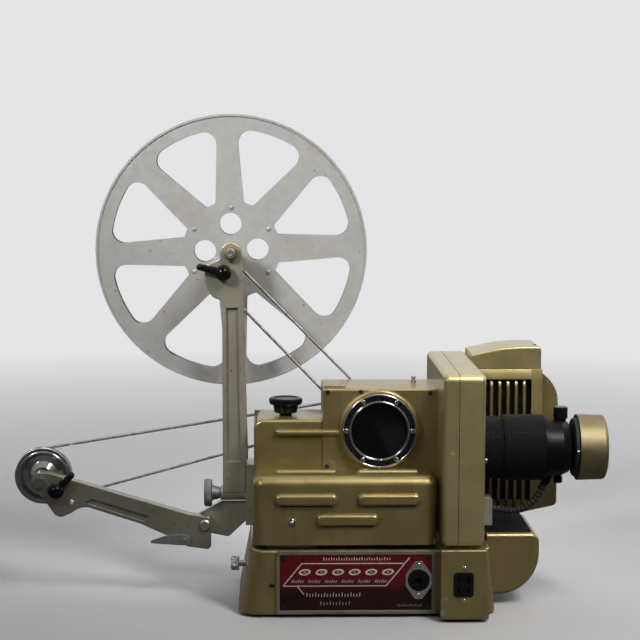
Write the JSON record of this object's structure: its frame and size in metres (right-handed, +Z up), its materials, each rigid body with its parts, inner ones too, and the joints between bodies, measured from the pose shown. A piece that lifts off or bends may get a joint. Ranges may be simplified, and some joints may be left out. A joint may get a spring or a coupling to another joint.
{
  "type": "film projector",
  "caption": "Portable sound film projector with valve amplifier base, reel on an upright arm, swinging take-up arm, belt drive, motor with inching knob and finned lamphouse.",
  "frame": {"origin": "bottom centre of the whole machine's box, on the table under the rubber feet", "axes": "+X along the base from the take-up arm to the motor, +Y from the operator's side to the film side, +Z up"},
  "size_m": [0.7512, 0.2456, 0.616],
  "materials": {
    "gold_paint": "satin metallic enamel, olive gold",
    "arm_paint": "satin metallic enamel, champagne grey, on cast alloy",
    "reel_metal": "dull pressed sheet with fine spots",
    "chrome_plate": "polished",
    "steel": "machined",
    "brass": "machined",
    "black_bakelite": "glossy moulded bakelite",
    "black_wrinkle": "black wrinkle enamel",
    "black_gloss": "glossy black enamel",
    "red_panel": "satin red print on sheet metal with white lines",
    "steel_panel_edge": "worn satin",
    "black_steel": "blackened",
    "dark_glass": "slightly dusty",
    "clear_glass": "clear",
    "black_rubber": "matt",
    "belt_wire": "close-wound spring wire, oiled",
    "black_conduit": "corrugated",
    "transformer_core": "varnished laminations"
  },
  "bodies": {
    "root": {"base_housing": "gold_paint", "connector_block": "gold_paint", "louvre_cover": "gold_paint", "drive_housing": "gold_paint", "mechanism_case": "gold_paint", "fan_casing_left": "gold_paint", "fan_casing_right": "gold_paint", "lamphouse_body": "gold_paint", "lamphouse_hood": "gold_paint", "rear_housing": "gold_paint", "upper_arm": "arm_paint", "arm_bracket": "arm_paint", "conduit_bracket": "arm_paint", "porthole_ring": "chrome_plate", "chrome_screws": "chrome_plate", "earth_terminal": "chrome_plate", "socket_flange": "chrome_plate", "base_bottom_plate": "steel", "main_plate": "steel", "hinge_pin": "steel", "film_gate": "steel", "brush_caps": "black_bakelite", "socket_insert": "black_bakelite", "power_connector": "black_bakelite", "motor_body": "black_wrinkle", "motor_end_bell": "black_gloss", "amplifier_panel": "red_panel", "panel_frame": "steel_panel_edge", "black_screws": "black_steel", "porthole_glass": "dark_glass", "projection_lamp": "clear_glass", "amplifier_valves": "clear_glass", "rubber_feet": "black_rubber", "upper_belt": "belt_wire", "lower_belt": "belt_wire", "motor_conduit": "black_conduit", "mains_transformer": "transformer_core"},
    "motor": {"motor_rotor": "steel", "fan_impeller": "steel", "inching_knob": "gold_paint"},
    "shutter": {"shutter": "steel"},
    "main_shaft": {"main_gear": "brass", "drive_pulley": "steel"},
    "upper_sprocket": {"upper_sprocket": "steel"},
    "lower_sprocket": {"lower_sprocket": "steel"},
    "sound_drum": {"sound_drum": "steel"},
    "upper_pulley": {"upper_pulley": "steel"},
    "reel": {"reel_spindle": "steel", "reel_front_flange": "reel_metal", "reel_rear_flange": "reel_metal", "reel_hub": "reel_metal"},
    "lower_arm": {"lower_arm": "arm_paint"},
    "takeup_pulley": {"takeup_pulley": "chrome_plate"},
    "upper_lever": {"upper_clutch_lever": "black_bakelite"},
    "lower_lever": {"lower_clutch_lever": "black_bakelite"},
    "latch": {"latch_lever": "steel"},
    "thumbscrew": {"arm_thumbscrew": "steel"},
    "clutch_knob": {"clutch_knob": "black_bakelite"},
    "lens": {"lens_barrel": "black_gloss"},
    "volume_knob": {"volume_knob": "black_bakelite"}
  },
  "joints": [
    {"name": "motor_spin", "type": "hinge", "parent": "root", "child": "motor", "pos_m": [0.28365, -0.0442, 0.203], "axis": [1, 0, 0], "continuous": true},
    {"name": "shutter_spin", "type": "hinge", "parent": "root", "child": "shutter", "pos_m": [0.17065, 0.0038, 0.21509], "axis": [1, 0, 0], "continuous": true},
    {"name": "main_shaft_spin", "type": "hinge", "parent": "root", "child": "main_shaft", "pos_m": [0.07065, 0.0188, 0.238], "axis": [0, 1, 0], "continuous": true},
    {"name": "upper_sprocket_spin", "type": "hinge", "parent": "root", "child": "upper_sprocket", "pos_m": [0.11039, 0.0808, 0.25569], "axis": [0, 1, 0], "continuous": true},
    {"name": "lower_sprocket_spin", "type": "hinge", "parent": "root", "child": "lower_sprocket", "pos_m": [0.0782, 0.0808, 0.19516], "axis": [0, 1, 0], "continuous": true},
    {"name": "upper_pulley_spin", "type": "hinge", "parent": "root", "child": "upper_pulley", "pos_m": [-0.10405, 0.0488, 0.417], "axis": [0, 1, 0], "continuous": true},
    {"name": "takeup_spin", "type": "hinge", "parent": "lower_arm", "child": "takeup_pulley", "pos_m": [-0.33875, 0.0558, 0.1494], "axis": [0, 1, 0], "continuous": true},
    {"name": "sound_drum_spin", "type": "hinge", "parent": "root", "child": "sound_drum", "pos_m": [0.06365, 0.0808, 0.13], "axis": [0, 1, 0], "continuous": true},
    {"name": "reel_spin", "type": "hinge", "parent": "root", "child": "reel", "pos_m": [-0.09505, 0.0788, 0.441], "axis": [0, 1, 0], "continuous": true},
    {"name": "lower_arm_fold", "type": "hinge", "parent": "root", "child": "lower_arm", "pos_m": [-0.12835, 0.0158, 0.093], "axis": [0, 1, 0], "range_deg": [-12, 40], "deforming": ["lower_belt"]},
    {"name": "upper_lever_turn", "type": "hinge", "parent": "root", "child": "upper_lever", "pos_m": [-0.10405, 0.0008, 0.417], "axis": [0, 1, 0], "range_deg": [-75, 30]},
    {"name": "lower_lever_turn", "type": "hinge", "parent": "lower_arm", "child": "lower_lever", "pos_m": [-0.31675, 0.0008, 0.1403], "axis": [0, 1, 0], "range_deg": [-40, 75]},
    {"name": "latch_turn", "type": "hinge", "parent": "lower_arm", "child": "latch", "pos_m": [-0.15435, 0.0068, 0.0745], "axis": [0, 1, 0], "range_deg": [-30, 4]},
    {"name": "arm_clamp_turn", "type": "hinge", "parent": "root", "child": "thumbscrew", "pos_m": [-0.12435, 0.0208, 0.133], "axis": [1, 0, 0], "continuous": true},
    {"name": "clutch_knob_turn", "type": "hinge", "parent": "root", "child": "clutch_knob", "pos_m": [-0.02535, -0.0012, 0.245], "axis": [0, 0, 1], "range_deg": [-120, 120]},
    {"name": "lens_focus", "type": "slide", "parent": "root", "child": "lens", "axis": [1, 0, 0], "range_m": [-0.005, 0.005]},
    {"name": "volume_turn", "type": "hinge", "parent": "root", "child": "volume_knob", "pos_m": [-0.00635, 0.1188, 0.048], "axis": [0, 1, 0], "range_deg": [0, 270]}
  ],
  "couplings": [
    {"joint": "shutter_spin", "follows": "motor_spin", "ratio": -0.32},
    {"joint": "main_shaft_spin", "follows": "motor_spin", "ratio": 0.016842},
    {"joint": "upper_sprocket_spin", "follows": "motor_spin", "ratio": -0.032},
    {"joint": "lower_sprocket_spin", "follows": "motor_spin", "ratio": -0.032},
    {"joint": "upper_pulley_spin", "follows": "motor_spin", "ratio": 0.017818},
    {"joint": "takeup_spin", "follows": "motor_spin", "ratio": 0.006083}
  ]
}
